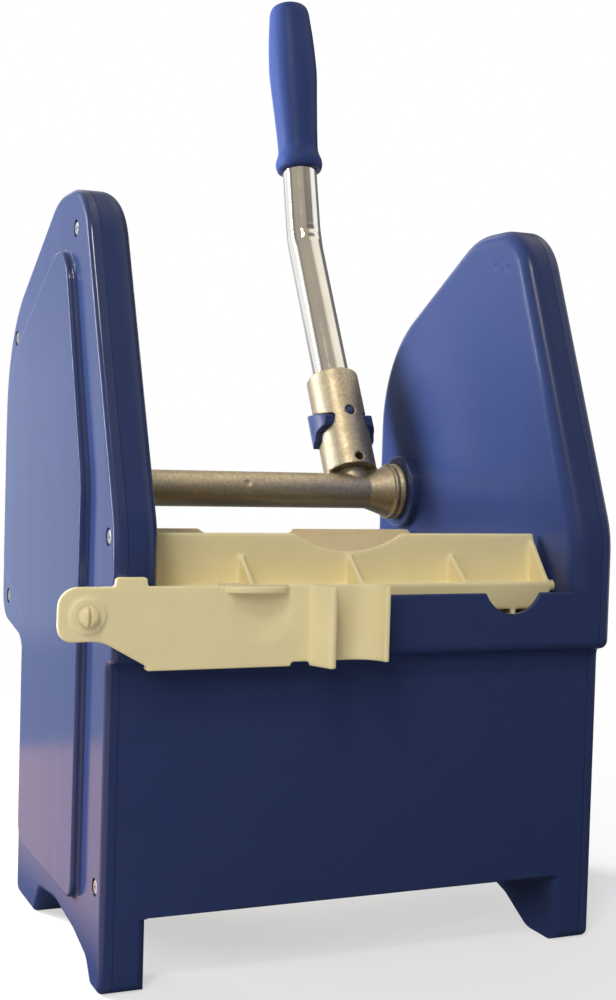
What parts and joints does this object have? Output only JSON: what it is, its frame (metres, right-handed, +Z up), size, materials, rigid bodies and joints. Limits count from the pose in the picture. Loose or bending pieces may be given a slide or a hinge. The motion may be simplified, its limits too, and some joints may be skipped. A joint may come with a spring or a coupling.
{
  "type": "mop wringer",
  "caption": "Moulded mop press wringer whose hand lever, geared inside hollow side cheeks, swings a slotted rear jaw against a fixed front plate; a latch swings across its front rim.",
  "frame": {"origin": "middle of the footprint of the feet, on the floor", "axes": "+X to the right seen from the front, +Y from front to back, +Z up"},
  "size_m": [0.357, 0.4377, 0.6736],
  "materials": {
    "blue_shell": "glossy moulded blue",
    "blue_cover": "glossy moulded blue",
    "blue_bush": "moulded blue",
    "blue_grip": "satin moulded blue",
    "blue_clip": "moulded blue",
    "cream": "satin cream",
    "greyed_cream": "satin greyish cream",
    "cast": "fine cast, unpolished",
    "chromed": "bright chrome",
    "steel": "plain zinc plated",
    "gear": "natural nylon"
  },
  "bodies": {
    "base": {"housing": "blue_shell", "cover_left": "blue_cover", "cover_right": "blue_cover", "cover_screws_left": "steel", "cover_screws_right": "steel", "shaft_bush_left": "blue_bush", "shaft_bush_right": "blue_bush", "jaw_bush_left": "blue_bush", "jaw_bush_right": "blue_bush", "idler_axles": "steel", "front_plate": "cream", "latch_pin": "cream"},
    "lever": {"lever_shaft": "cast", "lever_tube": "chromed", "lever_grip": "blue_grip", "pinion_left": "gear", "pinion_right": "gear", "pinion_bolts": "steel", "pinion_washers": "steel"},
    "idler_left": {"idler_left": "gear"},
    "idler_right": {"idler_right": "gear"},
    "jaw": {"rear_jaw": "greyed_cream", "jaw_shaft": "steel", "jaw_set_screws": "steel", "sector_left": "gear", "sector_right": "gear", "sector_bolts": "steel", "sector_washers": "steel"},
    "latch": {"latch_arm": "cream"},
    "wing_right": {"release_wing_right": "blue_clip"},
    "wing_left": {"release_wing_left": "blue_clip"},
    "stud": {"lock_stud": "blue_clip"}
  },
  "joints": [
    {"name": "lever_swing", "type": "hinge", "parent": "base", "child": "lever", "pos_m": [0, 0.1225, 0.27396], "axis": [1, 0, 0], "range_deg": [0, 95]},
    {"name": "jaw_swing", "type": "hinge", "parent": "base", "child": "jaw", "pos_m": [0, -0.02548, 0.058], "axis": [1, 0, 0], "range_deg": [0, 36.6]},
    {"name": "idler_left_spin", "type": "hinge", "parent": "base", "child": "idler_left", "pos_m": [0, 0.03779, 0.21363], "axis": [1, 0, 0], "range_deg": [-59.5, 0]},
    {"name": "idler_right_spin", "type": "hinge", "parent": "base", "child": "idler_right", "pos_m": [0, 0.03779, 0.21363], "axis": [1, 0, 0], "range_deg": [-59.5, 0]},
    {"name": "latch_swing", "type": "hinge", "parent": "base", "child": "latch", "pos_m": [-0.176, -0.121, 0.214], "axis": [0, -1, 0], "range_deg": [0, 80]},
    {"name": "wing_right_slide", "type": "slide", "parent": "lever", "child": "wing_right", "axis": [-1, 0, 0], "range_m": [0, 0.003], "stiffness_N_per_m": 800},
    {"name": "wing_left_slide", "type": "slide", "parent": "lever", "child": "wing_left", "axis": [1, 0, 0], "range_m": [0, 0.003]},
    {"name": "stud_slide", "type": "slide", "parent": "lever", "child": "stud", "axis": [0, 0.8704, -0.4924], "range_m": [0, 0.0066]}
  ],
  "couplings": [
    {"joint": "jaw_swing", "follows": "lever_swing", "ratio": 0.38461},
    {"joint": "idler_left_spin", "follows": "lever_swing", "ratio": -0.625},
    {"joint": "idler_right_spin", "follows": "lever_swing", "ratio": -0.625},
    {"joint": "wing_left_slide", "follows": "wing_right_slide", "ratio": 1},
    {"joint": "stud_slide", "follows": "wing_right_slide", "ratio": 2.1667}
  ]
}
